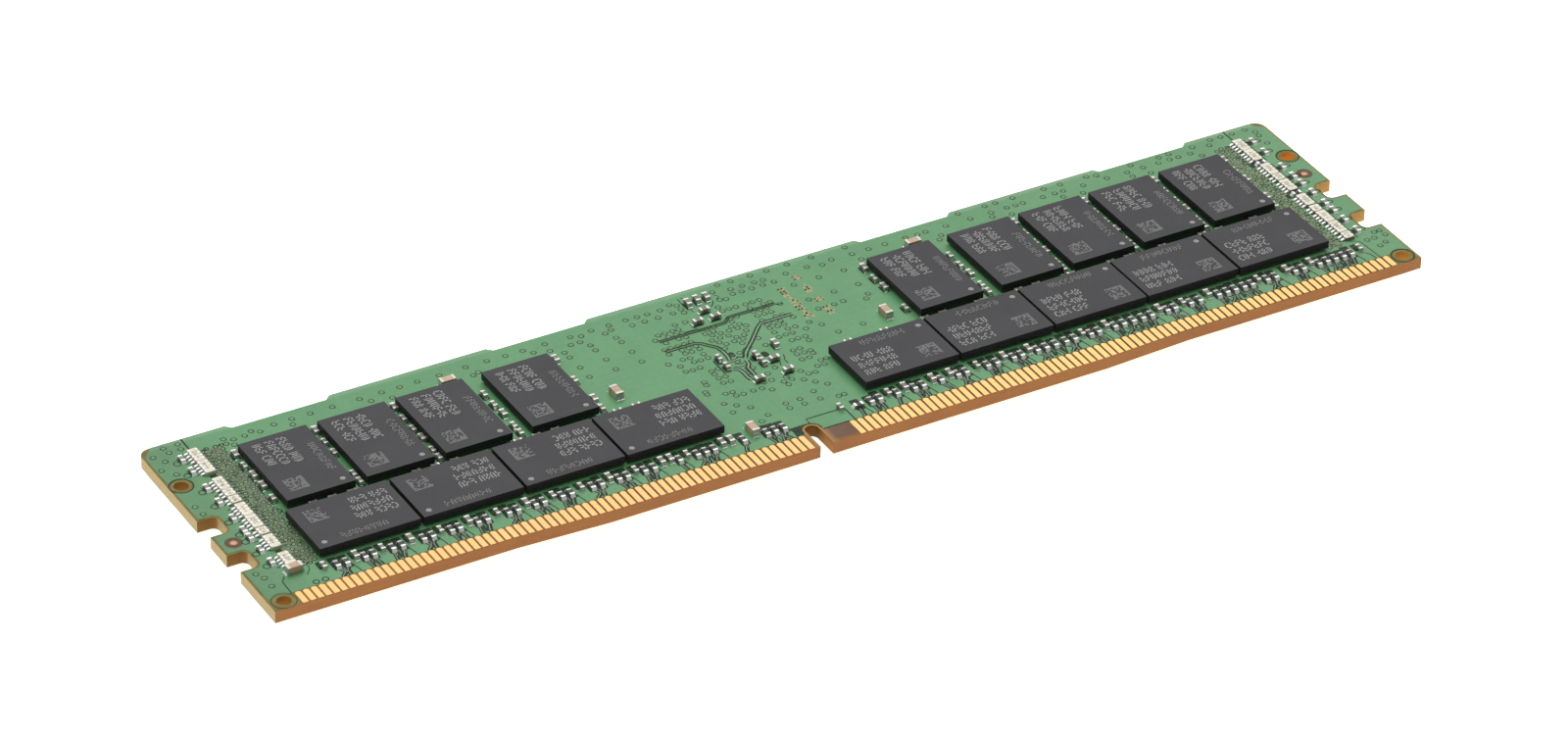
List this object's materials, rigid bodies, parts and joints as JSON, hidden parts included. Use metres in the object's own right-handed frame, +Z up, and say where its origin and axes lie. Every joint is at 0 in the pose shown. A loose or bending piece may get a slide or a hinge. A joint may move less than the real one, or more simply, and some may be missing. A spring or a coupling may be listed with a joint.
{
  "type": "ram module",
  "caption": "Long green memory board with gold edge contacts, memory packages on both faces, latch notches at the ends and a keyed slot in the contact edge.",
  "frame": {"origin": "bottom centre of the module's bounding box as it lies flat: the resting plane under the front memory packages, at the middle of its length and height", "axes": "+X along the board's length, to the right as seen on the back face; +Y from the contact edge to the opposite long edge; +Z up, out of the back face"},
  "size_m": [0.1334, 0.0312, 0.0037],
  "materials": {
    "glass_laminate": "cut glass-fibre board edge, slightly rough",
    "inner_copper": "rolled copper foil",
    "solder_resist": "semi-gloss green solder resist",
    "bare_copper": "bare etched copper",
    "contact_gold": "hard gold plate, smooth",
    "mould_compound": "fine matt epoxy mould compound",
    "package_substrate": "dark resist on thin laminate",
    "silicon": "polished silicon",
    "solder": "tin alloy, soft sheen",
    "tinned_ends": "bright matt tin plate",
    "capacitor_ceramic": "grey-brown fired ceramic",
    "large_capacitor_ceramic": "tan fired ceramic",
    "resistor_black": "black glass overcoat",
    "array_ceramic": "cream alumina"
  },
  "bodies": {
    "root": {"laminate_core": "glass_laminate", "laminate_ply_back": "glass_laminate", "laminate_ply_front": "glass_laminate", "ground_plane": "inner_copper", "power_plane": "inner_copper", "solder_mask_back": "solder_resist", "solder_mask_front": "solder_resist", "fiducials_back": "bare_copper", "fiducials_front": "bare_copper", "edge_contacts_back": "contact_gold", "edge_contacts_front": "contact_gold", "memory_mould_back": "mould_compound", "memory_mould_front": "mould_compound", "memory_slot_seal_back": "mould_compound", "memory_slot_seal_front": "mould_compound", "register_mould": "mould_compound", "presence_detect_body": "mould_compound", "memory_substrate_back": "package_substrate", "memory_substrate_front": "package_substrate", "register_substrate": "package_substrate", "memory_die_back": "silicon", "memory_die_front": "silicon", "register_die": "silicon", "memory_balls_back": "solder", "memory_balls_front": "solder", "register_balls": "solder", "presence_detect_lands": "tinned_ends", "capacitor_ends_back": "tinned_ends", "capacitor_ends_front": "tinned_ends", "small_capacitor_ends_back": "tinned_ends", "small_capacitor_ends_front": "tinned_ends", "resistor_ends_back": "tinned_ends", "resistor_ends_front": "tinned_ends", "large_capacitor_ends_back": "tinned_ends", "large_capacitor_ends_front": "tinned_ends", "resistor_array_terminals": "tinned_ends", "capacitor_bodies_back": "capacitor_ceramic", "capacitor_bodies_front": "capacitor_ceramic", "small_capacitor_bodies_back": "capacitor_ceramic", "small_capacitor_bodies_front": "capacitor_ceramic", "large_capacitor_bodies_back": "large_capacitor_ceramic", "large_capacitor_bodies_front": "large_capacitor_ceramic", "resistor_bodies_back": "resistor_black", "resistor_bodies_front": "resistor_black", "resistor_array_bodies": "array_ceramic"}
  },
  "joints": []
}
